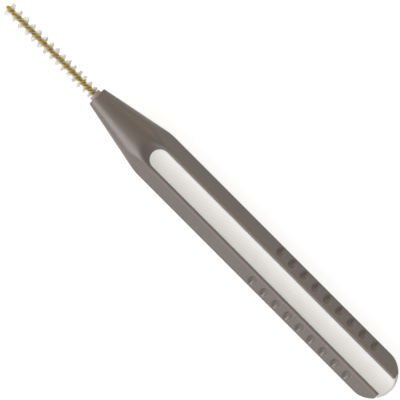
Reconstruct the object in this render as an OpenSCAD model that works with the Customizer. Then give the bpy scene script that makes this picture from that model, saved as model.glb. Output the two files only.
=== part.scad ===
// Interdental brush with a two-part moulded handle.
// The handle lies along X with the brush towards -X, and rests on the flat lands of its back face at z = 0.
// All lengths are in millimetres.

/* [Handle] */
// Length of the handle from the nose face to the rounded end
handle_len = 55; // [48:1:65]
// Width of the six-sided handle across two opposite rounded edges
handle_w = 7; // [6.4:0.2:9]
// Rounding of the six long edges
edge_r = 0.2; // [0.1:0.05:0.35]
// Rounding of the rim around the flat faces at the end
rim_r = 0.7; // [0.3:0.05:0.8]

/* [Nose] */
// Diameter of the nose face
nose_d = 2.8; // [2.4:0.1:3.4]
// Length of the cone, from the nose face to where its line meets the full width
cone_len = 10.5; // [8:0.5:13]
// Rounding where the cone runs into the body
cone_blend_r = 9; // [4:0.5:12]
// Diameter of the collar around the wire
collar_d = 1.65; // [1.4:0.05:2]
// Length of the collar in front of the nose face
collar_len = 0.45; // [0.2:0.05:0.8]

/* [Thumb troughs] */
// Depth of the hollow in the front and back faces
trough_depth = 0.28; // [0.12:0.02:0.36]
// Distance from the nose face to where the hollow has its full depth
trough_start = 12; // [11.5:0.1:14]
// Radius in which the floor of the hollow rises towards the cone
trough_rise_r = 20; // [16:1:30]
// Flat land left between a trough and the rounding of the edge
land_w = 0.1; // [0.05:0.05:0.3]

/* [Finger dimples] */
// Number of dimples in each row
dimple_n = 9; // [5:1:11]
// Distance from one dimple to the next
dimple_pitch = 2.2; // [1.6:0.1:2.6]
// Distance from the end of the handle to the last dimple
dimple_end_gap = 5.6; // [4.5:0.1:8]
// Width of a dimple along the handle
dimple_w = 1.2; // [0.8:0.1:1.5]
// Length of a dimple across its face
dimple_len = 2.6; // [1.8:0.1:2.8]
// Depth of a dimple
dimple_depth = 0.4; // [0.2:0.02:0.5]

/* [Core] */
// Width of the core, which shows as the stripe
stripe_w = 2.7; // [2.2:0.1:2.9]
// Distance from the nose face to the round start of the stripe
stripe_start = 10.5; // [9.5:0.1:13]
// Length of the core's cap behind the grip
cap_len = 0.85; // [0.5:0.05:1.5]
// Diameter of the stem that holds the wire inside the cone
stem_d = 1.9; // [1.6:0.1:2.2]
// Grip material in front of the stem
stem_setback = 1.6; // [1.2:0.1:3]
// Number of holes through the core that the grip material fills
key_n = 5; // [2:1:6]
// Diameter of those holes
key_d = 1.8; // [1.2:0.1:2.4]
// Distance from one hole to the next
key_pitch = 7; // [5:0.5:7.5]

/* [Wire] */
// Length of the brush from its tip to the nose face
brush_len = 16.9; // [12:0.1:22]
// Diameter of one leg of the folded wire
wire_d = 0.36; // [0.25:0.01:0.4]
// Length of one full twist at the tip
twist_pitch_tip = 2.65; // [2:0.05:3.2]
// Length of one full twist at the nose
twist_pitch_neck = 1.87; // [1.5:0.01:2.6]
// Length of straight twisted wire held inside the handle
anchor_len = 13; // [12.5:0.5:15]
// Inner bend radius of the hook at the wire's hidden end, on its centre line
hook_r = 0.9; // [0.7:0.05:1.2]
// Straight length of the hook past its bend
hook_len = 0.6; // [0.3:0.1:1]

/* [Bristles] */
// Diameter of the brush across the filament tips
bristle_d = 2.1; // [1.7:0.1:3]
// Number of filaments, each with two free ends
filament_n = 200; // [150:10:250]
// Thickness of a filament where the wire holds it
filament_d = 0.06; // [0.05:0.005:0.08]
// Bare wire at the tip, measured from the end of the folded wire
bare_tip = 0.45; // [0.45:0.05:1.5]
// Bare wire at the nose, measured from the face of the collar
bare_neck = 0.2; // [0.1:0.1:2]

/* [Hidden] */
$fn = 64;

// Overrun of every cut past the surface that it cuts
cut = 1;
// Small step that keeps a cutting surface from lying exactly along an edge
skin = 0.02;
// Play of the wire in its bore, and of the filaments between the wire's legs
play = 0.01;
// Break on the rim of the collar and of the nose face
nose_break = 0.1;
// Straight segments in the rounding between cone and body
blend_steps = 8;
// Half the angle between two neighbouring corners of the section
half_corner = 30;

// Places along the handle, with the whole brush centred on x = 0
total_len = brush_len + handle_len;
x_tip = -total_len / 2;
x_nose = x_tip + brush_len;
x_end = x_nose + handle_len;
x_collar = x_nose - collar_len;
x_stripe = x_nose + stripe_start;
x_cap = x_end - cap_len;

// Section of the handle: a regular hexagon with rounded corners at the sides
corner_centre = handle_w / 2 - edge_r;
apothem = corner_centre * cos(half_corner) + edge_r;
flat_half = corner_centre * sin(half_corner);
trough_half = flat_half - land_w;
trough_r = (trough_half ^ 2 + trough_depth ^ 2) / (2 * trough_depth);
trough_bend_r = trough_rise_r - trough_r;
trough_bend_angle = 2 * acos(1 - trough_depth / trough_rise_r);
side_facets = [30, 150, 210, 330];

// Nose and end
nose_r = nose_d / 2;
collar_r = collar_d / 2;
cone_angle = atan((handle_w / 2 - nose_r) / cone_len);
blend_top_r = handle_w / 2 + skin;
blend_corner_x = x_nose + (blend_top_r - nose_r) / tan(cone_angle);
blend_tangent = cone_blend_r * tan(cone_angle / 2);
end_r = handle_w / 2 + skin;
x_end_centre = x_end - end_r;

// Dimple cutter: a lemon whose long axis lies across the face, lifted off it
dimple_belly = (dimple_w ^ 2 / 4 + dimple_depth ^ 2) / (2 * dimple_depth);
dimple_lift = dimple_belly - dimple_depth;
dimple_bow = (dimple_len ^ 2 / 4 + dimple_depth ^ 2) / (2 * dimple_depth);

// Twisted wire: two legs at leg_offset from the common axis, with one layer of filaments between them
wire_r = wire_d / 2;
leg_offset = wire_r + filament_d / 2 + play;
bore_r = leg_offset + wire_r + play;
axis_start = x_tip + leg_offset + wire_r;
straight_len = x_nose + anchor_len - axis_start;
bend_len = PI * hook_r / 2;
axis_len = straight_len + bend_len + hook_len;
twist_span = x_nose - axis_start;
twist_phase = -58;
wire_sides = 8;
rings_per_turn = 12;
loop_steps = 6;
key_start = anchor_len + hook_r + key_d / 2 + bore_r + key_d;

// Bristles: one layer of filaments across the wire's axis, fused side by side where the wire holds them
filament_first = bare_tip - leg_offset - wire_r;
filament_last = x_collar - axis_start - bare_neck;
filament_step = (filament_last - filament_first) / (filament_n - 1);
filament_width_share = 0.62;
filament_width = filament_step * filament_width_share;
filament_tip_share = 0.7;
layer_width_share = 0.9;
layer_half = wire_r * layer_width_share;
length_variation_share = 0.035;
golden_angle = 137.5;

// Turns of twist between the start of the wire's axis and distance s along it
function turns(s) =
    let (rate_tip = 1 / twist_pitch_tip, rate_neck = 1 / twist_pitch_neck, in_span = min(s, twist_span))
    rate_tip * in_span + (rate_neck - rate_tip) * in_span ^ 2 / (2 * twist_span) + rate_neck * (s - in_span);

// The strands wind to the left, so the angle falls as s grows
function twist_angle(s) = twist_phase - 360 * turns(s);

// Angle through which the hook has turned at distance s
function hook_angle(s) = 90 * min(max((s - straight_len) / bend_len, 0), 1);

// Point of the wire's common axis at distance s: straight, then a quarter bend upwards, then straight again
function axis_point(s) =
    let (a = hook_angle(s), past = max(s - straight_len - bend_len, 0))
    [axis_start + min(s, straight_len) + hook_r * sin(a), 0, hook_r * (1 - cos(a)) + past];

// Direction from the axis to a leg of the wire, turned by angle about the axis
function leg_direction(s, angle) =
    let (a = hook_angle(s)) [-sin(a) * sin(angle), cos(angle), cos(a) * sin(angle)];

function leg_point(s, side) = axis_point(s) + leg_offset * leg_direction(s, twist_angle(s) + side);

function unit(v) = v / norm(v);

// One ring of the wire's tube around centre, with outward as its reference and travel along the wire
function ring(centre, outward, travel) =
    let (side = unit(cross(travel, outward)), up = cross(side, travel))
    [for (i = [0:wire_sides - 1])
        let (a = (i + 0.5) * 360 / wire_sides) centre + wire_r * (cos(a) * up + sin(a) * side)];

// Rings of one leg at the distances in list, which runs towards the tip when heading is -1
function leg_rings(list, side, heading) =
    [for (s = list)
        ring(
            leg_point(s, side),
            leg_direction(s, twist_angle(s) + side),
            heading * unit(leg_point(s + play, side) - leg_point(s - play, side)))];

// Rings of the half loop that joins the two legs at the tip
function loop_rings() =
    let (out = leg_direction(0, twist_angle(0)), fore = [-1, 0, 0])
    [for (i = [1:loop_steps - 1])
        let (a = 180 * i / loop_steps, radial = cos(a) * out + sin(a) * fore)
        ring(axis_point(0) + leg_offset * radial, radial, cos(a) * fore - sin(a) * out)];

// Triangles between ring i and ring i + 1, for rings of n points
function band(i, n) =
    [for (j = [0:n - 1])
        let (a = i * n + j, b = i * n + (j + 1) % n) each [[a, b + n, b], [a, a + n, b + n]]];

// Rounded hexagon of the handle's section
module hex_section() {
    polygon([for (i = [0:5], side = [-1, 1])
        let (a = 60 * i, b = a + side * half_corner)
        corner_centre * [cos(a), sin(a)] + edge_r * [cos(b), sin(b)]]);
    for (i = [0:5])
        rotate(60 * i) translate([corner_centre, 0]) circle(edge_r);
}

module along_x(x) {
    translate([x, 0, 0]) rotate([90, 0, 90]) children();
}

// Collar, nose face, cone and blend, turned about the handle's axis
module nose_turning() {
    blend = [for (i = [0:blend_steps])
        let (a = cone_angle * (1 - i / blend_steps))
        [blend_top_r - cone_blend_r * (1 - cos(a)), blend_corner_x + blend_tangent - cone_blend_r * sin(a)]];
    rotate([0, 90, 0]) rotate_extrude() polygon(concat(
        [[0, x_collar], [collar_r - nose_break, x_collar], [collar_r, x_collar + nose_break], [collar_r, x_nose]],
        [[nose_r - nose_break, x_nose], [nose_r + nose_break * tan(cone_angle), x_nose + nose_break]],
        blend,
        [[blend_top_r, x_end + cut], [0, x_end + cut]]));
}

// Cutter for the hollow of the front face, a round bar that bends out of the face before the cone
module trough_cutter() {
    translate([x_nose + trough_start, 0, apothem - trough_depth + trough_r]) {
        along_x(0) cylinder(h = x_end - x_nose - trough_start + cut, r = trough_r);
        translate([0, 0, trough_bend_r]) rotate([90, 0, 0]) rotate(-90)
            rotate_extrude(angle = -trough_bend_angle) translate([trough_bend_r, 0]) circle(trough_r);
    }
}

// What the round end leaves of the square end of the section
module end_cutter() {
    end_h = apothem + skin;
    difference() {
        translate([x_end_centre, -handle_w, -handle_w])
            cube([end_r + 2 * cut, 2 * handle_w, 2 * handle_w]);
        translate([x_end_centre, 0, 0]) rotate_extrude() {
            translate([0, -end_h]) square([end_r - rim_r, 2 * end_h]);
            translate([0, rim_r - end_h]) square([end_r, 2 * (end_h - rim_r)]);
            for (side = [-1, 1]) translate([end_r - rim_r, side * (end_h - rim_r)]) circle(rim_r);
        }
    }
}

// Outer form that core and grip share, about its own axis
module handle_blank() {
    difference() {
        intersection() {
            along_x(x_collar - cut) linear_extrude(x_end - x_collar + 2 * cut) hex_section();
            nose_turning();
        }
        trough_cutter();
        mirror([0, 0, 1]) trough_cutter();
        end_cutter();
    }
}

// Space that the core takes: stem, web from face to face with a round start, and end cap
module core_space() {
    web_start = x_stripe + stripe_w / 2;
    stem_start = x_nose + stem_setback;
    along_x(stem_start) cylinder(h = web_start - stem_start, d = stem_d);
    translate([0, 0, -handle_w / 2]) linear_extrude(handle_w) {
        translate([web_start, 0]) circle(d = stripe_w);
        translate([web_start, -stripe_w / 2]) square([x_end - web_start + cut, stripe_w]);
    }
    translate([x_cap, -handle_w / 2 - cut, -handle_w / 2])
        cube([cap_len + cut, handle_w + 2 * cut, handle_w]);
}

// Cross holes in the core, which the grip material fills and so locks
module key_holes() {
    for (i = [0:key_n - 1])
        translate([x_nose + key_start + i * key_pitch, 0, 0])
            rotate([90, 0, 0]) cylinder(h = stripe_w + 2 * cut, d = key_d, center = true);
}

// Bore for the straight part of the wire
module wire_bore() {
    along_x(x_collar - cut) cylinder(h = collar_len + anchor_len + cut, r = bore_r);
}

// Bore for the bent end of the wire
module hook_bore() {
    bend_x = x_nose + anchor_len;
    translate([bend_x, 0, hook_r]) rotate([90, 0, 0]) rotate_extrude(angle = -90)
        rotate(-90) translate([0, hook_r]) circle(bore_r);
    translate([bend_x + hook_r, 0, hook_r]) cylinder(h = hook_len + play, r = bore_r);
}

// Rows of dimples in the four side faces
module dimples() {
    last_x = x_end - dimple_end_gap;
    for (facet = side_facets, i = [0:dimple_n - 1])
        translate([last_x - i * dimple_pitch, 0, 0]) rotate([facet, 0, 0])
            translate([0, apothem + dimple_lift, 0]) rotate_extrude() intersection() {
                translate([dimple_belly - dimple_bow, 0]) circle(dimple_bow);
                translate([0, -dimple_len]) square([dimple_belly + cut, 2 * dimple_len]);
            }
}

// White core: holds the wire, shows as the stripe on both faces and as the end cap
module handle_core() {
    color("whitesmoke") translate([0, 0, apothem]) difference() {
        intersection() {
            handle_blank();
            core_space();
        }
        key_holes();
        wire_bore();
        hook_bore();
    }
}

// Grey grip, moulded round the core
module handle_grip() {
    color("dimgray") translate([0, 0, apothem]) difference() {
        handle_blank();
        difference() {
            core_space();
            key_holes();
        }
        wire_bore();
        dimples();
    }
}

// One wire, folded at the tip, with its two legs twisted together and hooked at the hidden end
module twisted_wire() {
    leg_steps = ceil(turns(axis_len) * rings_per_turn);
    list = [for (i = [0:leg_steps]) axis_len * i / leg_steps];
    back = [for (i = [leg_steps:-1:0]) list[i]];
    rings = concat(leg_rings(back, 0, -1), loop_rings(), leg_rings(list, 180, 1));
    last = (len(rings) - 1) * wire_sides;
    color("goldenrod") translate([0, 0, apothem]) polyhedron(
        points = [for (r = rings) each r],
        faces = concat(
            [for (i = [0:len(rings) - 2]) each band(i, wire_sides)],
            [for (j = [1:wire_sides - 2]) [0, j, j + 1]],
            [for (j = [1:wire_sides - 2]) [last, last + j + 1, last + j]]));
}

// Corners of the filament layer at distance s, anticlockwise seen from the tip
function layer_ring(s) =
    let (
        across = leg_direction(s, twist_angle(s) + 90),
        up = leg_direction(s, twist_angle(s)),
        c = axis_point(s),
        t = filament_d / 2)
    [
        c + layer_half * across + t * up,
        c - layer_half * across + t * up,
        c - layer_half * across - t * up,
        c + layer_half * across - t * up
    ];

// Four corners of the free end of filament i, on the side given by -1 or 1
function filament_tip(i, side) =
    let (
        s = filament_first + i * filament_step,
        reach = bristle_d / 2 * (1 - length_variation_share * (1 + sin(golden_angle * i * (2 + side)))),
        half_w = filament_width * filament_tip_share / 2,
        t = filament_d * filament_tip_share / 2,
        end = side * reach * leg_direction(s, twist_angle(s) + 90),
        up = leg_direction(s, twist_angle(s)))
    [
        axis_point(s - half_w) + end + t * up,
        axis_point(s - half_w) + end - t * up,
        axis_point(s + half_w) + end - t * up,
        axis_point(s + half_w) + end + t * up
    ];

// Two helical rows of free ends on the layer of filaments that the wire holds
module bristles() {
    layer = [for (i = [0:filament_n - 1], half = [-0.5, 0.5])
        each layer_ring(filament_first + i * filament_step + half * filament_width)];
    tips = [for (i = [0:filament_n - 1], side = [1, -1]) each filament_tip(i, side)];
    tip_base = len(layer);
    last = len(layer) - 4;
    color("white") translate([0, 0, apothem]) polyhedron(
        points = concat(layer, tips),
        faces = concat(
            [[0, 1, 2], [0, 2, 3], [last, last + 2, last + 1], [last, last + 3, last + 2]],
            // The two broad sides of the layer, all along
            [for (i = [0:2 * filament_n - 2], j = [0, 2])
                let (a = 4 * i + j, b = a + 1) each [[a, b + 4, b], [a, a + 4, b + 4]]],
            // Its two edges, between one filament and the next
            [for (i = [1:2:2 * filament_n - 3], j = [1, 3])
                let (a = 4 * i + j, b = 4 * i + (j + 1) % 4) each [[a, b + 4, b], [a, a + 4, b + 4]]],
            // Four sides and the end of each free filament
            [for (i = [0:filament_n - 1], row = [0, 1])
                let (
                    r = 8 * i,
                    base = row == 0 ? [r, r + 3, r + 7, r + 4] : [r + 1, r + 2, r + 6, r + 5],
                    tip = [for (k = [0:3]) tip_base + 8 * i + 4 * row + k],
                    walls = [for (k = [0:3])
                        let (m = (k + 1) % 4)
                        each [[base[k], base[m], tip[m]], [base[k], tip[m], tip[k]]]],
                    end = [[tip[0], tip[1], tip[2]], [tip[0], tip[2], tip[3]]])
                each [for (f = concat(walls, end)) row == 0 ? f : [f[0], f[2], f[1]]]]));
}

handle_core();
handle_grip();
twisted_wire();
bristles();
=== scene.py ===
"""Dresses the interdental brush in a plain white studio.

Its pieces are the two mouldings of the handle, the twisted wire and the nylon filaments.
"""

import logging
import math
from dataclasses import dataclass
from enum import Enum
from typing import Any, Iterable, Optional, Sequence, Union

import bpy
import numpy as np
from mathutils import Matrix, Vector


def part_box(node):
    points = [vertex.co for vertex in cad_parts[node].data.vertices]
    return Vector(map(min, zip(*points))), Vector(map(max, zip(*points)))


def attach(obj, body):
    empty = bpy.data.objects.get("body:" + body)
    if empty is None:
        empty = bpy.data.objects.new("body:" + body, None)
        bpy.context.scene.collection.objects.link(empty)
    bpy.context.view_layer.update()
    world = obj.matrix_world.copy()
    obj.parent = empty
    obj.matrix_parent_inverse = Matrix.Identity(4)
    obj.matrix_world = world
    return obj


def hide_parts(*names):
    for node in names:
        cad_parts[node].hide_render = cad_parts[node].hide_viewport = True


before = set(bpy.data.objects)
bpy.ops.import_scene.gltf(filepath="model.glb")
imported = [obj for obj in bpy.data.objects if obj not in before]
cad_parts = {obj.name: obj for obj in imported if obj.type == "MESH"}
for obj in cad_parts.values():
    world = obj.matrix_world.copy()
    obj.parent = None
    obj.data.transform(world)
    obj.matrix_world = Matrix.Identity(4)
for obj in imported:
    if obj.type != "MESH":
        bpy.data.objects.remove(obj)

MM = 0.001
BODY = "root"
WHITE = (1.0, 1.0, 1.0)
NOISE_MIDDLE = 0.5
FACETS = 6
FACET_DEG = 60
HALF_FACET_DEG = 30
QUARTER_DEG = 90
COS30 = math.cos(math.radians(HALF_FACET_DEG))
SIN30 = 0.5
LOG = logging.getLogger("interdental_brush")

# Sockets by number, where a name stands for several: a Mix node for colours, a Random Value node for floats.
MIX_AMOUNT, MIX_BASE, MIX_OTHER, MIX_RESULT = 0, 6, 7, 2
RANDOM_LOW, RANDOM_HIGH, RANDOM_RESULT = 2, 3, 1

Value = Union["Signal", int, float]


class Shot(Enum):
    """The two mouldings of the handle, each with the boolean that cuts it from the whole form."""

    CORE = "INTERSECT"
    GRIP = "DIFFERENCE"


class Draw(Enum):
    """The random draws for a filament, each with what it adds to the seed."""

    FAN = 0
    FAN_MORE = 1
    LEAN = 2
    TRIM = 3


class Signal:
    """An output socket that takes part in Python expressions, each of which adds its Math node."""

    def __init__(self, graph: "Graph", socket: bpy.types.NodeSocket) -> None:
        """Wraps an output socket of a graph."""
        self.graph = graph
        self.socket = socket

    def _math(self, operation: str, *values: Value) -> "Signal":
        """Adds a Math node with this operation on the given values, in their order."""
        inputs = dict(enumerate(values))
        return self.graph.node("ShaderNodeMath", {"operation": operation}, inputs).out(0)

    def __add__(self, other: Value) -> "Signal":
        """Sum."""
        return self._math("ADD", self, other)

    __radd__ = __add__

    def __sub__(self, other: Value) -> "Signal":
        """Difference."""
        return self._math("SUBTRACT", self, other)

    def __rsub__(self, other: Value) -> "Signal":
        """Difference, with the number first."""
        return self._math("SUBTRACT", other, self)

    def __mul__(self, other: Value) -> "Signal":
        """Product."""
        return self._math("MULTIPLY", self, other)

    __rmul__ = __mul__

    def __truediv__(self, other: Value) -> "Signal":
        """Quotient."""
        return self._math("DIVIDE", self, other)

    def __rtruediv__(self, other: Value) -> "Signal":
        """Quotient, with the number first."""
        return self._math("DIVIDE", other, self)

    def sin(self) -> "Signal":
        """Sine of an angle in radians."""
        return self._math("SINE", self)

    def cos(self) -> "Signal":
        """Cosine of an angle in radians."""
        return self._math("COSINE", self)

    def abs(self) -> "Signal":
        """Size without its sign."""
        return self._math("ABSOLUTE", self)

    def least(self, other: Value) -> "Signal":
        """The smaller of the two."""
        return self._math("MINIMUM", self, other)

    def most(self, other: Value) -> "Signal":
        """The larger of the two."""
        return self._math("MAXIMUM", self, other)

    def power(self, other: Value) -> "Signal":
        """This raised to a power."""
        return self._math("POWER", self, other)

    def modulo(self, other: Value) -> "Signal":
        """Remainder of a division."""
        return self._math("MODULO", self, other)

    def ramp(self, low: Value, high: Value) -> "Signal":
        """Zero at low and under, one at high and over, and straight between."""
        return ((self - low) / (high - low)).most(0.0).least(1.0)


class Step:
    """A node whose outputs are picked by name or number."""

    def __init__(self, graph: "Graph", node: bpy.types.Node) -> None:
        """Wraps a node of the graph."""
        self.graph = graph
        self.node = node

    def out(self, key: Union[int, str]) -> Signal:
        """Returns the output socket with this name or number."""
        return Signal(self.graph, self.node.outputs[key])


class Graph:
    """A node tree to which nodes are added by type, settings and inputs."""

    def __init__(self, tree: bpy.types.NodeTree) -> None:
        """Empties the tree, which is a material's, a world's or a Geometry Nodes tree."""
        self.tree = tree
        tree.nodes.clear()

    def node(self, kind: str, settings: Optional[dict] = None, inputs: Optional[dict] = None) -> Step:
        """Adds a node.

        Args:
            kind: The node's type, such as ShaderNodeMath.
            settings: Its own properties, such as a Math node's operation, set before its sockets.
            inputs: Values, signals or steps by the socket's name or number. A step gives its first output.

        Returns:
            The new node, wrapped.
        """
        node = self.tree.nodes.new(kind)
        for key, value in (settings or {}).items():
            setattr(node, key, value)
        for key, value in (inputs or {}).items():
            self.feed(node.inputs[key], value)
        return Step(self, node)

    def feed(self, socket: bpy.types.NodeSocket, value: Any) -> None:
        """Links a signal or a step to a socket, or writes a plain value into it.

        Args:
            socket: The input socket.
            value: What it gets. A step gives its first output.
        """
        if isinstance(value, Step):
            value = value.out(0)
        if isinstance(value, Signal):
            self.tree.links.new(value.socket, socket)
        else:
            socket.default_value = value


class Recipe(Graph):
    """A Geometry Nodes tree with named inputs, which is run once and leaves a plain mesh."""

    def __init__(self, name: str) -> None:
        """Starts an empty tree with its geometry output.

        Args:
            name: The tree's name.
        """
        super().__init__(bpy.data.node_groups.new(name, "GeometryNodeTree"))
        self.tree.interface.new_socket("Geometry", in_out="OUTPUT", socket_type="NodeSocketGeometry")
        self.source = self.tree.nodes.new("NodeGroupInput")
        self.values: dict[str, Any] = {}

    def size(self, name: str, value: Any, kind: str = "NodeSocketFloat") -> Signal:
        """Adds a named input.

        Args:
            name: What the input is, in plain words.
            value: Its value on this object, in metres, radians or a count.
            kind: The socket's type.

        Returns:
            The input as a signal.
        """
        item = self.tree.interface.new_socket(name, in_out="INPUT", socket_type=kind)
        self.values[item.identifier] = value
        found = next(s for s in self.source.outputs if s.identifier == item.identifier)
        return Signal(self, found)

    def finish(self, geometry: Step, material: Signal) -> None:
        """Ends the tree: smooth faces, real instances, one material.

        Args:
            geometry: The step that gives the finished geometry.
            material: The input that holds the finish.
        """
        smooth = self.node("GeometryNodeSetShadeSmooth", None, {"Geometry": geometry})
        real = self.node("GeometryNodeRealizeInstances", None, {"Geometry": smooth})
        dressed = self.node("GeometryNodeSetMaterial", None, {"Geometry": real, "Material": material})
        self.node("NodeGroupOutput", None, {0: dressed})

    def run(self, name: str, material: bpy.types.Material) -> bpy.types.Object:
        """Runs the tree on an empty object and keeps the result.

        Args:
            name: The new piece's name.
            material: The piece's one finish.

        Returns:
            The piece, a plain mesh with no modifier.
        """
        obj = new_object(name, bpy.data.meshes.new(name))
        modifier = obj.modifiers.new("Recipe", "NODES")
        modifier.node_group = self.tree
        for identifier, value in self.values.items():
            modifier[identifier] = value
        keep_result(obj)
        dress(obj.data, material)
        return obj


def new_object(name: str, mesh: bpy.types.Mesh) -> bpy.types.Object:
    """Links a mesh to the scene as an object at the origin.

    Args:
        name: The object's name.
        mesh: Its mesh, in metres in the part's frame.

    Returns:
        The object.
    """
    obj = bpy.data.objects.new(name, mesh)
    bpy.context.scene.collection.objects.link(obj)
    return obj


def keep_result(obj: bpy.types.Object) -> None:
    """Gives an object what its modifiers make of it as a plain mesh, and removes them.

    Args:
        obj: The object with its modifiers.
    """
    bpy.context.view_layer.update()
    evaluated = obj.evaluated_get(bpy.context.evaluated_depsgraph_get())
    result = bpy.data.meshes.new_from_object(evaluated)
    obj.modifiers.clear()
    obj.data = result


def dress(mesh: bpy.types.Mesh, material: bpy.types.Material) -> None:
    """Gives every face of a mesh one material.

    Args:
        mesh: The mesh.
        material: Its only material.
    """
    mesh.materials.clear()
    mesh.materials.append(material)
    mesh.polygons.foreach_set("material_index", np.zeros(len(mesh.polygons), dtype=np.int32))
    mesh.update()


def new_mesh(name: str, points: np.ndarray, faces: Iterable[Sequence[int]]) -> bpy.types.Mesh:
    """Makes a mesh from points and faces.

    Args:
        name: The mesh's name.
        points: Points as rows of x, y, z, in metres.
        faces: The numbers of each face's points, in order round it.

    Returns:
        The mesh.
    """
    mesh = bpy.data.meshes.new(name)
    mesh.from_pydata(points.tolist(), [], [list(face) for face in faces])
    mesh.update()
    return mesh


def opaque(colour: tuple) -> tuple:
    """A colour with full cover as its fourth value."""
    return (*colour, 1.0)


@dataclass(frozen=True)
class Finish:
    """What all finishes share: a name, a colour, a roughness and a way to become a material."""

    name: str
    colour: tuple
    roughness: float

    def material(self) -> bpy.types.Material:
        """Builds the material.

        Returns:
            A new node-based material.
        """
        material = bpy.data.materials.new(self.name)
        material.use_nodes = True
        graph = Graph(material.node_tree)
        surface = graph.node("ShaderNodeBsdfPrincipled", None, self.constants())
        for socket, value in self.detail(graph).items():
            graph.feed(surface.node.inputs[socket], value)
        graph.node("ShaderNodeOutputMaterial", None, {"Surface": surface})
        return material

    def constants(self) -> dict:
        """Values that are the same all over the surface, by socket name."""
        return {"Base Color": opaque(self.colour), "Roughness": self.roughness}

    def translucency(self, share: float, colour: tuple, depth_mm: float) -> dict:
        """How light enters the material, by socket name: how much, how far by colour, and its depth."""
        return {"Subsurface Weight": share, "Subsurface Radius": colour, "Subsurface Scale": depth_mm * MM}

    def detail(self, graph: Graph) -> dict:
        """Signals that vary over the surface, by socket name."""
        return {}

    def place(self, graph: Graph) -> Signal:
        """The point on the surface, in the object's own metres."""
        return graph.node("ShaderNodeTexCoord").out("Object")

    def noise(self, graph: Graph, grain_mm: float, detail: float = 2.0) -> Signal:
        """Soft noise from 0 to 1.

        Args:
            graph: The material's graph.
            grain_mm: Width of one grain, in millimetres.
            detail: Number of finer layers on top.

        Returns:
            The noise as a signal.
        """
        settings = {"noise_dimensions": "3D"}
        inputs = {"Vector": self.place(graph), "Scale": 1.0 / (grain_mm * MM), "Detail": detail}
        return graph.node("ShaderNodeTexNoise", settings, inputs).out(0)

    def tint(self, graph: Graph, amount: Signal, base: Union[Signal, tuple], other: tuple) -> Signal:
        """A colour, turned towards another one by amount."""
        inputs = {MIX_AMOUNT: amount, MIX_BASE: base, MIX_OTHER: opaque(other)}
        return graph.node("ShaderNodeMix", {"data_type": "RGBA"}, inputs).out(MIX_RESULT)

    def relief(self, graph: Graph, height: Signal, depth_mm: float) -> Signal:
        """A bump for the Normal socket, from heights of 0 to 1 that stand for 0 to depth_mm."""
        inputs = {"Strength": 1.0, "Distance": depth_mm * MM, "Height": height}
        return graph.node("ShaderNodeBump", None, inputs).out("Normal")


@dataclass(frozen=True)
class GripRubber(Finish):
    """Warm grey elastomer with the fine grain of an eroded mould."""

    name: str = "grip_rubber"
    colour: tuple = (0.105, 0.082, 0.068)
    roughness: float = 0.36
    faded: tuple = (0.133, 0.106, 0.09)
    # Pale tone painted on as a highlight on the collar and along the ridges.
    painted_highlight: tuple = (0.27, 0.225, 0.19)
    collar_highlight_end_mm: float = 0.0
    collar_highlight_blend_mm: float = 0.12
    edge_start_mm: float = 0.0
    edge_mm: float = 1.63
    edge_half_mm: float = 0.34
    edge_blend_mm: float = 0.18
    # How strongly the ridges get the painted highlight.
    ridge_highlight_share: float = 0.32
    edge_rise_mm: float = 2.5
    grain_mm: float = 0.09
    grain_depth_mm: float = 0.0022
    grain_tone: float = 0.15
    grain_rough: float = 0.08
    cloud_mm: float = 3.5
    cloud_layers: float = 3.0
    cloud_span: tuple = (0.35, 0.65)
    cloud_tone: float = 0.35
    cloud_rough: float = 0.05

    def detail(self, graph: Graph) -> dict:
        """Cloudy colour and roughness, a fine grain, and a paler tone painted on as a highlight.

        The painted highlight lies on the collar round the wire, and along the ridges beside the front and
        back faces, edge_mm from the middle.

        Args:
            graph: The material's graph.

        Returns:
            The signals, by socket name.
        """
        cloud = self.noise(graph, self.cloud_mm, self.cloud_layers).ramp(*self.cloud_span)
        grain = self.noise(graph, self.grain_mm)
        place = graph.node("ShaderNodeSeparateXYZ", None, {0: self.place(graph)})
        x, y = place.out(0) / MM, place.out(1) / MM
        # Painted highlight on the collar in front of the nose face.
        collar = 1.0 - x.ramp(self.collar_highlight_end_mm - self.collar_highlight_blend_mm, self.collar_highlight_end_mm)
        off_edge = (y.abs() - self.edge_mm).abs()
        # Painted highlight along the ridges beside the front and back faces, rising in from the end of the
        # cone.
        edge = 1.0 - off_edge.ramp(self.edge_half_mm - self.edge_blend_mm, self.edge_half_mm)
        edge = edge * x.ramp(self.edge_start_mm, self.edge_start_mm + self.edge_rise_mm)
        # Where the painted highlight goes: the collar fully, the ridges in part.
        painted_highlight = collar.most(edge * self.ridge_highlight_share)
        tone = cloud * self.cloud_tone + grain * self.grain_tone
        colour = self.tint(graph, tone, opaque(self.colour), self.faded)
        rough = self.roughness + (cloud - NOISE_MIDDLE) * self.cloud_rough
        return {
            "Base Color": self.tint(graph, painted_highlight, colour, self.painted_highlight),
            "Roughness": rough + (grain - NOISE_MIDDLE) * self.grain_rough,
            "Normal": self.relief(graph, grain, self.grain_depth_mm),
        }


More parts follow.
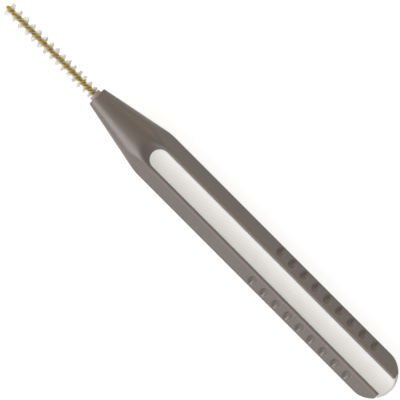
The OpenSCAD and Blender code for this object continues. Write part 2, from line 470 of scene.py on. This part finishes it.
@dataclass(frozen=True)
class CorePlastic(Finish):
    """White polypropylene, slightly translucent, with an eroded satin grain."""

    name: str = "core_plastic"
    colour: tuple = (0.85, 0.82, 0.805)
    roughness: float = 0.42
    shaded: tuple = (0.79, 0.765, 0.745)
    grain_mm: float = 0.13
    grain_layers: float = 1.0
    grain_depth_mm: float = 0.004
    grain_tone: float = 0.35
    grain_rough: float = 0.15
    cloud_mm: float = 1.6
    cloud_layers: float = 3.0
    cloud_span: tuple = (0.35, 0.7)
    cloud_tone: float = 0.35
    glow_mm: float = 0.6
    glow_share: float = 0.4
    glow_colour: tuple = (1.0, 0.95, 0.85)

    def constants(self) -> dict:
        """Adds the plastic's translucency."""
        return {**super().constants(), **self.translucency(self.glow_share, self.glow_colour, self.glow_mm)}

    def detail(self, graph: Graph) -> dict:
        """Soft mottling and a fine grain.

        Args:
            graph: The material's graph.

        Returns:
            The signals, by socket name.
        """
        cloud = self.noise(graph, self.cloud_mm, self.cloud_layers).ramp(*self.cloud_span)
        grain = self.noise(graph, self.grain_mm, self.grain_layers)
        tone = cloud * self.cloud_tone + grain * self.grain_tone
        return {
            "Base Color": self.tint(graph, tone, opaque(self.colour), self.shaded),
            "Roughness": self.roughness + (grain - NOISE_MIDDLE) * self.grain_rough,
            "Normal": self.relief(graph, grain, self.grain_depth_mm),
        }


@dataclass(frozen=True)
class WireMetal(Finish):
    """Gold-coloured drawn wire: metal with fine lines and slight tarnish."""

    name: str = "wire_metal"
    colour: tuple = (0.36, 0.235, 0.034)
    roughness: float = 0.26
    tarnish: tuple = (0.14, 0.09, 0.012)
    tarnish_mm: float = 0.5
    tarnish_layers: float = 4.0
    tarnish_span: tuple = (0.4, 0.7)
    tarnish_tone: float = 0.5
    tarnish_rough: float = 0.12
    line_mm: float = 0.05
    line_rough: float = 0.1

    def constants(self) -> dict:
        """Adds the metal."""
        return {**super().constants(), "Metallic": 1.0}

    def detail(self, graph: Graph) -> dict:
        """Tarnish in patches and fine drawing lines.

        Args:
            graph: The material's graph.

        Returns:
            The signals, by socket name.
        """
        patch = self.noise(graph, self.tarnish_mm, self.tarnish_layers).ramp(*self.tarnish_span)
        line = self.noise(graph, self.line_mm)
        rough = self.roughness + patch * self.tarnish_rough
        return {
            "Base Color": self.tint(graph, patch * self.tarnish_tone, opaque(self.colour), self.tarnish),
            "Roughness": rough + (line - NOISE_MIDDLE) * self.line_rough,
        }


@dataclass(frozen=True)
class Nylon(Finish):
    """Natural white nylon filament: translucent, with the wire's gold painted on as a reflection where it
    leaves the wire.
    """

    name: str = "bristle_nylon"
    colour: tuple = (0.945, 0.955, 0.975)
    roughness: float = 0.55
    milky: tuple = (0.885, 0.895, 0.92)
    # Gold painted on as the wire's reflection near the axis.
    painted_gold_reflection: tuple = (1.0, 0.89, 0.53)
    axis_mm: float = 0.0
    root_mm: float = 0.35
    free_mm: float = 0.6
    streak_mm: float = 0.25
    streak_span: tuple = (0.35, 0.7)
    streak_tone: float = 0.6
    streak_rough: float = 0.1
    glow_mm: float = 0.2
    glow_share: float = 1.0
    refraction: float = 1.53
    cover: float = 0.4

    def constants(self) -> dict:
        """Adds translucency, refraction and cover."""
        glow = self.translucency(self.glow_share, WHITE, self.glow_mm)
        return {**super().constants(), **glow, "IOR": self.refraction, "Alpha": self.cover}

    def detail(self, graph: Graph) -> dict:
        """A slightly milky tone in streaks, and a painted reflection of the wire's gold near the axis.

        That painted reflection is full up to root_mm from the axis and gone at free_mm.

        Args:
            graph: The material's graph.

        Returns:
            The signals, by socket name.
        """
        streak = self.noise(graph, self.streak_mm).ramp(*self.streak_span)
        place = graph.node("ShaderNodeSeparateXYZ", None, {0: self.place(graph)})
        across, up = place.out(1) / MM, place.out(2) / MM - self.axis_mm
        # Painted reflection: the wire's gold, strongest next to the axis.
        root = 1.0 - (across * across + up * up).power(0.5).ramp(self.root_mm, self.free_mm)
        colour = self.tint(graph, streak * self.streak_tone, opaque(self.colour), self.milky)
        return {
            "Base Color": self.tint(graph, root, colour, self.painted_gold_reflection),
            "Roughness": self.roughness + streak * self.streak_rough,
        }


@dataclass(frozen=True)
class StudioFloor(Finish):
    """White sweep: it takes the object's shadow, and what sees it directly sees it white."""

    name: str = "studio_floor"
    colour: tuple = (0.5, 0.5, 0.5)
    roughness: float = 1.0
    glow: float = 0.76

    def material(self) -> bpy.types.Material:
        """Builds a matte surface with white light of its own for the rays that look at the floor.

        Returns:
            A new node-based material.
        """
        material = bpy.data.materials.new(self.name)
        material.use_nodes = True
        graph = Graph(material.node_tree)
        matte = graph.node("ShaderNodeBsdfDiffuse", None, {"Color": opaque(self.colour)})
        light = graph.node("ShaderNodeEmission", None, {"Color": opaque(WHITE), "Strength": self.glow})
        lit = graph.node("ShaderNodeAddShader", None, {0: matte, 1: light})
        surface = graph.node("ShaderNodeMixShader", None, {0: seen_directly(graph), 1: matte, 2: lit})
        graph.node("ShaderNodeOutputMaterial", None, {"Surface": surface})
        return material


def seen_directly(graph: Graph) -> Signal:
    """Tells the rays that look at a surface from those that only carry light.

    Args:
        graph: A material's or a world's graph.

    Returns:
        One for rays from the camera, a reflection or a refraction, and zero for the rest.
    """
    path = graph.node("ShaderNodeLightPath")
    looks = path.out("Is Camera Ray").most(path.out("Is Glossy Ray"))
    return looks.most(path.out("Is Transmission Ray"))


def rounded_max(a: np.ndarray, b: np.ndarray, width: float) -> np.ndarray:
    """The larger of two distances, with the edge between them rounded over a width."""
    overlap = np.maximum(width - np.abs(a - b), 0.0)
    return np.maximum(a, b) + overlap**2 / (4.0 * width)


@dataclass
class Handle:
    """The two-shot handle, as one distance field that is skinned and then cut into its two mouldings.

    Lengths are in millimetres, x runs from the nose face to the end, and the axis is at y = z = 0.
    """

    nose_x: float
    axis_z: float
    length: float
    width: float
    ridge_r: float = 0.2
    rim_r: float = 0.7
    nose_r: float = 1.4
    nose_edge: float = 0.13
    cone_len: float = 10.5
    cone_blend: float = 0.17
    collar_r: float = 0.825
    collar_len: float = 0.45
    collar_edge: float = 0.09
    foot: float = 0.06
    bore_r: float = 0.41
    bore_depth: float = 1.0
    trough_depth: float = 0.28
    land: float = 0.05
    trough_start: float = 12.0
    trough_rise_r: float = 20.0
    dimple_n: int = 9
    dimple_pitch: float = 2.2
    dimple_end_gap: float = 5.6
    dimple_w: float = 1.2
    dimple_len: float = 2.6
    dimple_depth: float = 0.4
    dimple_edge: float = 0.12
    stripe_w: float = 2.7
    stripe_start: float = 10.5
    cap_len: float = 0.85
    seam: float = 0.012
    soft_edge: float = 0.06
    sharp_angle: float = 50.0
    margin: float = 0.02
    ridge_rays: int = 7
    face_rays: int = 27
    side_rays: int = 33
    nose_gap: float = 1.2
    cone_rest: float = 1.3
    cone_step: float = 0.2
    plain_step: float = 1.2
    dimple_step: float = 0.09
    end_step: float = 0.35
    end_rings: int = 60
    halvings: int = 36
    rim_points: int = 6
    edge_points: int = 7
    arc_points: int = 65

    def __post_init__(self) -> None:
        """Works out the section and the centre of the round end."""
        self.corner = self.width / 2 - self.ridge_r
        self.apothem = self.corner * COS30 + self.ridge_r
        self.flat = self.corner / 2
        self.trough_half = self.flat - self.land
        self.trough_r = (self.trough_half**2 + self.trough_depth**2) / (2 * self.trough_depth)
        self.end_r = self.width / 2 + self.margin
        self.end_centre = self.length - self.end_r
        self.cone_slope = math.atan((self.width / 2 - self.nose_r) / self.cone_len)
        self.last_dimple = self.length - self.dimple_end_gap
        self.first_dimple = self.last_dimple - (self.dimple_n - 1) * self.dimple_pitch

    def distance(self, p: np.ndarray) -> np.ndarray:
        """Distance from the handle's surface, less than zero inside.

        Args:
            p: Points as rows of x, y, z.

        Returns:
            One distance for each point.
        """
        x, y, z = p[:, 0], np.abs(p[:, 1]), np.abs(p[:, 2])
        body = rounded_max(self._hexagon(y, z), self._trough(x, y, z), self.soft_edge)
        body = rounded_max(body, self._cone(x, y, z), self.cone_blend)
        body = rounded_max(body, self._round_end(x, y, z), self.soft_edge)
        return rounded_max(body, -self._dimple(x, y, z), self.dimple_edge)

    def _hexagon(self, y: np.ndarray, z: np.ndarray) -> np.ndarray:
        """Distance from the rounded hexagon, for points of the first quarter.

        Args:
            y: Distances to the side of the axis.
            z: Distances above or under the axis.

        Returns:
            One distance for each point.
        """
        inner = self.apothem - self.ridge_r
        fold = 2 * np.maximum(SIN30 * z - COS30 * y, 0)
        y2, z2 = y + COS30 * fold, z - SIN30 * fold
        out, along = COS30 * y2 + SIN30 * z2 - inner, COS30 * z2 - SIN30 * y2
        past = np.maximum(np.abs(along) - self.flat, 0)
        ridge = np.hypot(np.maximum(out, 0), past) + np.minimum(out, 0)
        return np.where(past > 0, ridge, out) - self.ridge_r

    def _trough(self, x: np.ndarray, y: np.ndarray, z: np.ndarray) -> np.ndarray:
        """Distance inside the round bar that hollows the front and back faces and rises near the cone."""
        rise = np.maximum(self.trough_start - x, 0) ** 2 / (2 * self.trough_rise_r)
        return self.trough_r - np.hypot(y, z - (self.apothem - self.trough_depth + self.trough_r) - rise)

    def _cone(self, x: np.ndarray, y: np.ndarray, z: np.ndarray) -> np.ndarray:
        """Distance from the cone of the nose."""
        radius = self.nose_r + x * math.tan(self.cone_slope)
        return (np.hypot(y, z) - radius) * math.cos(self.cone_slope)

    def _round_end(self, x: np.ndarray, y: np.ndarray, z: np.ndarray) -> np.ndarray:
        """Distance from the upright drum of the end, with its rounded rims.

        Args:
            x: Places along the axis.
            y: Distances to the side of the axis.
            z: Distances above or under the axis.

        Returns:
            One distance for each point.
        """
        side = np.hypot(np.maximum(x - self.end_centre, 0), y) - self.end_r + self.rim_r
        top = z - self.apothem - self.margin + self.rim_r
        outside = np.hypot(np.maximum(side, 0), np.maximum(top, 0))
        return np.minimum(np.maximum(side, top), 0) + outside - self.rim_r

    def _dimple(self, x: np.ndarray, y: np.ndarray, z: np.ndarray) -> np.ndarray:
        """Distance from the nearest dimple's cutter, a lemon that lies across the side face.

        Args:
            x: Places along the axis.
            y: Distances to the side of the axis.
            z: Distances above or under the axis.

        Returns:
            One distance for each point.
        """
        belly = (self.dimple_w**2 / 4 + self.dimple_depth**2) / (2 * self.dimple_depth)
        bow = (self.dimple_len**2 / 4 + self.dimple_depth**2) / (2 * self.dimple_depth)
        step = np.clip(np.round((x - self.first_dimple) / self.dimple_pitch), 0, self.dimple_n - 1)
        along = x - self.first_dimple - step * self.dimple_pitch
        out = COS30 * y + SIN30 * z - self.apothem - belly + self.dimple_depth
        across = COS30 * z - SIN30 * y
        radius = np.sqrt(np.maximum(bow**2 - across**2, 0)) - bow + belly
        return np.hypot(along, out) - radius

    def _section_angles(self) -> np.ndarray:
        """Works out the rays round the axis: close together at the ridges and across the dimples.

        Returns:
            The rays' angles, in radians.
        """
        ridge = np.radians(np.linspace(-HALF_FACET_DEG, HALF_FACET_DEG, self.ridge_rays)[1:-1])
        ridge_turn = np.arctan2(self.ridge_r * np.sin(ridge), self.corner + self.ridge_r * np.cos(ridge))
        trough = np.linspace(-1, 1, self.face_rays) * self.trough_half
        face = np.concatenate([[-self.flat], trough, [self.flat]])
        side = np.linspace(-1, 1, self.side_rays) * self.flat
        angles = []
        for facet in range(FACETS):
            middle = math.radians(HALF_FACET_DEG + FACET_DEG * facet)
            steps = face if facet % (FACETS // 2) == 1 else side
            angles.append(middle + np.arctan2(steps, self.apothem))
            angles.append(middle + math.radians(HALF_FACET_DEG) + ridge_turn)
        return np.concatenate(angles)

    def _stations(self) -> np.ndarray:
        """Works out the rings along the axis: close together on the cone and along the dimples.

        Returns:
            The rings' places on x.
        """
        cone_end = self.cone_len + self.cone_rest
        grip_start = self.first_dimple - self.dimple_w
        grip_end = self.last_dimple + self.dimple_w
        spans = [
            (self.nose_edge * self.nose_gap, cone_end, self.cone_step),
            (cone_end, grip_start, self.plain_step),
            (grip_start, grip_end, self.dimple_step),
            (grip_end, self.end_centre, self.end_step),
        ]
        return np.concatenate([np.linspace(a, b, math.ceil((b - a) / gap) + 1)[:-1] for a, b, gap in spans])

    def _march(self, start: np.ndarray, ray: np.ndarray) -> np.ndarray:
        """Finds where each ray leaves the form, by halving.

        Args:
            start: One point inside the form for each ray.
            ray: Unit directions.

        Returns:
            The points on the surface.
        """
        low = np.zeros(len(start))
        high = np.full(len(start), self.width)
        for _ in range(self.halvings):
            middle = (low + high) / 2
            inside = self.distance(start + ray * middle[:, None]) < 0
            low, high = np.where(inside, middle, low), np.where(inside, high, middle)
        return start + ray * high[:, None]

    def _nose_profile(self) -> list:
        """Draws the nose from the bottom of its bore to the start of the cone.

        Returns:
            Pairs of x and radius.
        """
        edge = self.collar_edge
        lead = edge / 2
        points = [(self.bore_depth, self.bore_r), (lead - self.collar_len, self.bore_r)]
        quarter = np.radians(np.linspace(0, QUARTER_DEG, self.rim_points))
        rim_x, rim_r = edge - self.collar_len, self.collar_r - edge
        points.append((-self.collar_len, self.bore_r + lead))
        points += [(rim_x - edge * math.cos(a), rim_r + edge * math.sin(a)) for a in quarter]
        foot_r = self.collar_r + self.foot
        points += [(self.foot * (math.sin(a) - 1), foot_r - self.foot * math.cos(a)) for a in quarter]
        slope = self.cone_slope
        edge_r = self.nose_r - self.nose_edge * (1 - math.sin(slope)) / math.cos(slope)
        arc = np.linspace(0, math.pi / 2 - slope, self.edge_points)
        points += [(self.nose_edge * (1 - math.cos(a)), edge_r + self.nose_edge * math.sin(a)) for a in arc]
        return points

    def skin(self) -> bpy.types.Mesh:
        """Skins the whole handle as one closed mesh.

        Returns:
            The mesh, in metres, in the part's frame.
        """
        angles = self._section_angles()
        around = np.stack([np.zeros_like(angles), np.cos(angles), np.sin(angles)], axis=1)
        rows = [np.array([x, 0, 0]) + r * around for x, r in self._nose_profile()]
        for x in self._stations():
            start = np.tile([x, 0.0, 0.0], (len(angles), 1))
            rows.append(self._march(start, around))
        for tilt in np.radians(np.linspace(0, QUARTER_DEG, self.end_rings + 1)[:-1]):
            start = np.tile([self.end_centre, 0.0, 0.0], (len(angles), 1))
            ray = around * math.cos(tilt) + np.array([math.sin(tilt), 0, 0])
            rows.append(self._march(start, ray))
        poles = np.array([[self.bore_depth, 0, 0], [self.length, 0, 0]])
        points = np.concatenate(rows + [poles])
        n, last = len(angles), len(rows) - 1
        faces = [
            (i * n + j, i * n + (j + 1) % n, (i + 1) * n + (j + 1) % n, (i + 1) * n + j)
            for i in range(last) for j in range(n)
        ]
        faces += [((j + 1) % n, j, len(points) - 2) for j in range(n)]
        faces += [(last * n + j, last * n + (j + 1) % n, len(points) - 1) for j in range(n)]
        return new_mesh("handle_form", self._to_frame(points), faces)

    def _to_frame(self, points: np.ndarray) -> np.ndarray:
        """Takes points from the handle's own millimetres to the part's frame in metres."""
        return (points + np.array([self.nose_x, 0, self.axis_z])) * MM

    def _core_space(self, play: float) -> bpy.types.Mesh:
        """Builds the space of the core, which is a round start, a web and a cap, seen from the front.

        Args:
            play: How much it is grown, in millimetres.

        Returns:
            The space as one closed mesh.
        """
        half = self.stripe_w / 2 + play
        centre = self.stripe_start + self.stripe_w / 2
        cap = self.length - self.cap_len - play
        past, wide = self.length + self.width, self.width
        turn = np.linspace(0, math.pi, self.arc_points)
        outline = [(centre - half * math.sin(a), half * math.cos(a)) for a in turn]
        outline += [(cap, -half), (cap, -wide), (past, -wide), (past, wide), (cap, wide), (cap, half)]
        n = len(outline)
        points = np.array([(x, y, z) for z in (-wide, wide) for x, y in outline])
        faces = [tuple(range(n - 1, -1, -1)), tuple(range(n, 2 * n))]
        faces += [(i, (i + 1) % n, n + (i + 1) % n, n + i) for i in range(n)]
        return new_mesh("core_space", self._to_frame(points), faces)

    def cut(
        self, name: str, shot: Shot, form: bpy.types.Mesh, material: bpy.types.Material
    ) -> bpy.types.Object:
        """Cuts one moulding from the whole form.

        Args:
            name: The piece's name.
            shot: Which of the two mouldings it is.
            form: The whole handle's mesh.
            material: The moulding's finish.

        Returns:
            The moulding, as a plain mesh.
        """
        play = self.seam if shot is Shot.GRIP else 0.0
        cutter = new_object("core_space", self._core_space(play))
        piece = new_object(name, form.copy())
        modifier = piece.modifiers.new("Cut", "BOOLEAN")
        modifier.operation = shot.value
        modifier.object = cutter
        modifier.solver = "MANIFOLD"
        keep_result(piece)
        bpy.data.objects.remove(cutter)
        piece.data.shade_smooth()
        piece.data.set_sharp_from_angle(angle=math.radians(self.sharp_angle))
        dress(piece.data, material)
        return piece


@dataclass
class Twist:
    """The run of the twisted wire: its common axis, its pitch and its hook. Lengths are in millimetres."""

    tip_x: float
    nose_x: float
    axis_z: float
    wire_r: float = 0.18
    leg_offset: float = 0.22
    pitch_tip: float = 2.65
    pitch_neck: float = 1.87
    phase: float = math.radians(-58)
    anchor_len: float = 13.0
    hook_r: float = 0.9
    hook_len: float = 0.6

    def __post_init__(self) -> None:
        """Works out the lengths of the axis."""
        self.start_x = self.tip_x + self.leg_offset + self.wire_r
        self.span = self.nose_x - self.start_x
        self.straight = self.span + self.anchor_len
        self.length = self.straight + self.hook_r * math.pi / 2 + self.hook_len

    def angle(self, s: Signal, recipe: Recipe) -> Signal:
        """Angle of the first leg at distance s along the axis, which falls because the twist is to the left.

        Args:
            s: Distance from the start of the axis, in metres.
            recipe: The tree that gets the named inputs.

        Returns:
            The angle in radians.
        """
        span = recipe.size("Twisted length in front of the nose", self.span * MM)
        tip_rate = 1.0 / recipe.size("Pitch at the tip", self.pitch_tip * MM)
        neck_rate = 1.0 / recipe.size("Pitch at the nose", self.pitch_neck * MM)
        phase = recipe.size("Angle at the tip", self.phase)
        near = s.least(span)
        gained = (neck_rate - tip_rate) * near * near / (span * 2.0)
        turns = tip_rate * near + gained + neck_rate * (s - near)
        return phase - turns * math.tau


@dataclass
class WireLoop(Twist):
    """The wire, folded in half at the tip and twisted together."""

    sides: int = 16
    rings: int = 900

    def build(self, name: str, material: bpy.types.Material) -> bpy.types.Object:
        """Sweeps the wire along its run.

        Args:
            name: The piece's name.
            material: The wire's finish.

        Returns:
            The wire as a plain mesh.
        """
        recipe = Recipe("wire_loop")
        count = recipe.size("Rings", self.rings, "NodeSocketInt")
        sides = recipe.size("Sides", self.sides, "NodeSocketInt")
        radius = recipe.size("Radius of the wire", self.wire_r * MM)
        offset = recipe.size("Distance from the axis", self.leg_offset * MM)
        length = recipe.size("Length of the axis", self.length * MM)
        straight = recipe.size("Straight length", self.straight * MM)
        hook = recipe.size("Radius of the hook", self.hook_r * MM)
        start = recipe.size("Start of the axis", self.start_x * MM)
        height = recipe.size("Height of the axis", self.axis_z * MM)
        finish = recipe.size("Finish", material, "NodeSocketMaterial")

        line = recipe.node("GeometryNodeCurvePrimitiveLine")
        points = recipe.node("GeometryNodeResampleCurve", None, {"Curve": line, "Count": count})
        share = recipe.node("GeometryNodeSplineParameter").out("Factor")
        quarter = offset * (math.pi / 2)
        run = (share * 2.0 - 1.0) * (length + quarter)
        s = (run.abs() - quarter).most(0.0)
        fold = (run / quarter).most(-1.0).least(1.0) * (math.pi / 2)
        turn = self.angle(s, recipe)
        out = offset * fold.sin()
        across, up = out * turn.cos(), out * turn.sin()
        bend = ((s - straight) / hook).most(0.0).least(math.pi / 2)
        past = (s - straight - hook * (math.pi / 2)).most(0.0)
        x = start + s.least(straight) + hook * bend.sin() - up * bend.sin() - offset * fold.cos()
        z = height + hook * (1.0 - bend.cos()) + past + up * bend.cos()
        place = recipe.node("ShaderNodeCombineXYZ", None, {"X": x, "Y": across, "Z": z})
        path = recipe.node("GeometryNodeSetPosition", None, {"Geometry": points, "Position": place})
        inputs = {"Resolution": sides, "Radius": radius}
        profile = recipe.node("GeometryNodeCurvePrimitiveCircle", None, inputs)
        inputs = {"Curve": path, "Profile Curve": profile, "Fill Caps": True}
        recipe.finish(recipe.node("GeometryNodeCurveToMesh", None, inputs), finish)
        return recipe.run(name, material)


@dataclass
class FilamentRows(Twist):
    """The nylon filaments that the twist holds, as two helical rows of free ends."""

    head_r: float = 1.05
    filament_r: float = 0.03
    ends: int = 1300
    sides: int = 5
    rod_parts: int = 2
    bare_tip: float = 0.02
    bare_neck: float = 0.45
    fan: float = math.radians(6)
    lean: float = 0.08
    trim: float = 0.05
    neck_start: float = 0.84
    neck_taper: float = 0.13
    seed: int = 7

    def build(self, name: str, material: bpy.types.Material) -> bpy.types.Object:
        """Sets the filaments round the axis.

        Args:
            name: The piece's name.
            material: The filaments' finish.

        Returns:
            All filaments as one plain mesh.
        """
        recipe = Recipe("filament_rows")
        count = recipe.size("Free ends", self.ends, "NodeSocketInt")
        sides = recipe.size("Sides", self.sides, "NodeSocketInt")
        seed = recipe.size("Seed", self.seed, "NodeSocketInt")
        radius = recipe.size("Radius of a filament", self.filament_r * MM)
        reach = recipe.size("Radius of the head", self.head_r * MM)
        first = recipe.size("Bare wire at the tip", self.bare_tip * MM)
        bare = recipe.size("Bare wire at the nose", self.bare_neck * MM)
        start = recipe.size("Start of the axis", self.start_x * MM)
        height = recipe.size("Height of the axis", self.axis_z * MM)
        fan = recipe.size("Fan of the filaments", self.fan)
        lean = recipe.size("Lean of the filaments", self.lean)
        trim = recipe.size("Unevenness of the trim", self.trim)
        neck = recipe.size("Where the rows begin to narrow", self.neck_start)
        taper = recipe.size("Narrowing at the nose", self.neck_taper)
        finish = recipe.size("Finish", material, "NodeSocketMaterial")

        index = recipe.node("GeometryNodeInputIndex").out(0)
        share = index / (count - 1.0)
        s = first + share * (self.span * MM - first - bare)
        side = index.modulo(2.0)
        turn = self.angle(s, recipe) + math.pi / 2 + side * math.pi
        swing = self._chance(recipe, seed, Draw.FAN, -1.0, 1.0)
        swing = swing + self._chance(recipe, seed, Draw.FAN_MORE, -1.0, 1.0)
        turn = turn + fan * swing / 2.0
        tilt = lean * self._chance(recipe, seed, Draw.LEAN, -1.0, 1.0)
        length = reach * (1.0 - trim * self._chance(recipe, seed, Draw.TRIM, 0.0, 1.0).power(2.0))
        length = length * (1.0 - taper * share.ramp(neck, 1.0))
        line = recipe.node("GeometryNodeMeshLine", {"mode": "OFFSET"}, {"Count": count})
        root = recipe.node("ShaderNodeCombineXYZ", None, {"X": start + s, "Z": height})
        points = recipe.node("GeometryNodeSetPosition", None, {"Geometry": line, "Position": root})
        heading = recipe.node("ShaderNodeCombineXYZ", None, {"X": tilt, "Y": turn.cos(), "Z": turn.sin()})
        turned = recipe.node("FunctionNodeAlignRotationToVector", {"axis": "Z"}, {"Vector": heading})
        stretch = recipe.node("ShaderNodeCombineXYZ", None, {"X": 1.0, "Y": 1.0, "Z": length / reach})
        inputs = {"Vertices": sides, "Side Segments": self.rod_parts, "Radius": radius, "Depth": reach}
        rod = recipe.node("GeometryNodeMeshCylinder", {"fill_type": "NGON"}, inputs)
        half = recipe.node("ShaderNodeCombineXYZ", None, {"Z": reach / 2.0})
        rod = recipe.node("GeometryNodeTransform", None, {"Geometry": rod, "Translation": half})
        inputs = {"Points": points, "Instance": rod, "Rotation": turned, "Scale": stretch}
        recipe.finish(recipe.node("GeometryNodeInstanceOnPoints", None, inputs), finish)
        return recipe.run(name, material)

    @staticmethod
    def _chance(recipe: Recipe, seed: Signal, draw: Draw, low: float, high: float) -> Signal:
        """A random number for each filament, the same on every run."""
        inputs = {RANDOM_LOW: low, RANDOM_HIGH: high, "Seed": seed + float(draw.value)}
        return recipe.node("FunctionNodeRandomValue", {"data_type": "FLOAT"}, inputs).out(RANDOM_RESULT)


@dataclass(frozen=True)
class Lamp:
    """A distant light: where it comes from, its strength, its width in the sky and its colour.

    Its angles are in degrees.
    """

    name: str
    bearing: float
    height: float
    strength: float
    spread: float
    colour: tuple = WHITE

    def build(self) -> None:
        """Adds the light to the scene."""
        data = bpy.data.lights.new(self.name, "SUN")
        data.energy = self.strength
        data.angle = math.radians(self.spread)
        data.color = self.colour
        lamp = bpy.data.objects.new(self.name, data)
        bearing, height = math.radians(self.bearing), math.radians(self.height)
        level = Vector((math.cos(bearing), math.sin(bearing), 0.0))
        towards = level * math.cos(height) + Vector((0.0, 0.0, math.sin(height)))
        lamp.rotation_euler = towards.to_track_quat("Z", "Y").to_euler()
        bpy.context.scene.collection.objects.link(lamp)


@dataclass
class Studio:
    """White floor, soft light and the camera of the photograph."""

    floor_r: float = 1.5
    floor_sides: int = 64
    fill: float = 0.205
    fill_colour: tuple = (1.0, 0.96, 0.87)
    camera_distance: float = 1.2
    camera_reach: tuple = (0.01, 100.0)
    look_height: float = 4 * MM
    photo_pixels: int = 400
    pixels_per_mm: float = 7.567
    sensor: float = 36.0
    roll: float = math.radians(45.06)
    look_at: tuple = (0.32 * MM, -0.013 * MM)
    lamps: tuple = (
        Lamp("key", 246.0, 18.0, 2.5, 45.0, (1.0, 0.95, 0.985)),
        Lamp("side", 172.0, 16.0, 2.42, 45.0, (0.96, 1.0, 0.96)),
        Lamp("back", 120.0, 15.0, 0.52, 40.0, (1.0, 0.72, 0.4)),
        Lamp("high", 270.0, 52.0, 0.82, 40.0, (0.8, 0.94, 1.0)),
        Lamp("end", 0.0, 8.0, 0.65, 30.0),
    )

    def build(self) -> None:
        """Builds floor, lights, world and camera."""
        self.add_floor()
        self.add_world()
        self.add_camera()
        for lamp in self.lamps:
            lamp.build()

    def add_floor(self) -> None:
        """A round floor at the height that the object rests on."""
        turn = np.linspace(0, math.tau, self.floor_sides + 1)[:-1]
        points = np.stack([np.cos(turn), np.sin(turn), np.zeros_like(turn)], axis=1) * self.floor_r
        floor = new_object("floor", new_mesh("floor", points, [range(self.floor_sides)]))
        floor.data.materials.append(StudioFloor().material())

    def add_world(self) -> None:
        """White where it is seen, and a plain fill light elsewhere."""
        world = bpy.data.worlds.new("studio")
        world.use_nodes = True
        graph = Graph(world.node_tree)
        inputs = {"Color": opaque(self.fill_colour), "Strength": self.fill}
        light = graph.node("ShaderNodeBackground", None, inputs)
        white = graph.node("ShaderNodeBackground", None, {"Color": opaque(WHITE), "Strength": 1.0})
        surface = graph.node("ShaderNodeMixShader", None, {0: seen_directly(graph), 1: light, 2: white})
        graph.node("ShaderNodeOutputWorld", None, {"Surface": surface})
        bpy.context.scene.world = world

    def add_camera(self) -> None:
        """A long lens straight above, turned so that the brush lies from corner to corner."""
        data = bpy.data.cameras.new("camera")
        data.sensor_width = self.sensor
        data.lens = self.sensor * self.camera_distance / (self.photo_pixels / self.pixels_per_mm * MM)
        data.clip_start, data.clip_end = self.camera_reach
        camera = bpy.data.objects.new("camera", data)
        camera.location = (*self.look_at, self.look_height + self.camera_distance)
        camera.rotation_euler = (0.0, 0.0, self.roll)
        bpy.context.scene.collection.objects.link(camera)
        bpy.context.scene.camera = camera


def main() -> None:
    """Builds every piece round the frame and reports it."""
    logging.basicConfig(level=logging.INFO, format="%(name)s: %(message)s")
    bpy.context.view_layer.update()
    bpy.context.scene.view_settings.view_transform = "Standard"

    grip_low, grip_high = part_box("handle_grip")
    core_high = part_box("handle_core")[1]
    wire_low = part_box("twisted_wire")[0]
    axis_z = (grip_low.z + grip_high.z) / 2 / MM
    nose_x = grip_low.x / MM + Handle.collar_len
    length, width = core_high.x / MM - nose_x, (grip_high.y - grip_low.y) / MM
    handle = Handle(nose_x=nose_x, axis_z=axis_z, length=length, width=width)
    run = {"tip_x": wire_low.x / MM, "nose_x": nose_x, "axis_z": axis_z}

    form = handle.skin()
    grip = GripRubber(collar_highlight_end_mm=nose_x, edge_start_mm=nose_x + handle.cone_len)
    plastic, metal, nylon = CorePlastic(), WireMetal(), Nylon(axis_mm=axis_z)
    pieces = [
        (handle.cut("grip_moulding", Shot.GRIP, form, grip.material()), "handle_grip", "grip_rubber"),
        (handle.cut("core_moulding", Shot.CORE, form, plastic.material()), "handle_core", "core_plastic"),
        (WireLoop(**run).build("wire_loop", metal.material()), "twisted_wire", "wire_metal"),
        (FilamentRows(**run).build("filament_rows", nylon.material()), "bristles", "bristle_nylon"),
    ]
    for piece, node, slot in pieces:
        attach(piece, BODY)
        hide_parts(node)
        LOG.info("%s: %d faces, stands for %s", piece.name, len(piece.data.polygons), node)

    Studio().build()


if __name__ == "__main__":
    main()
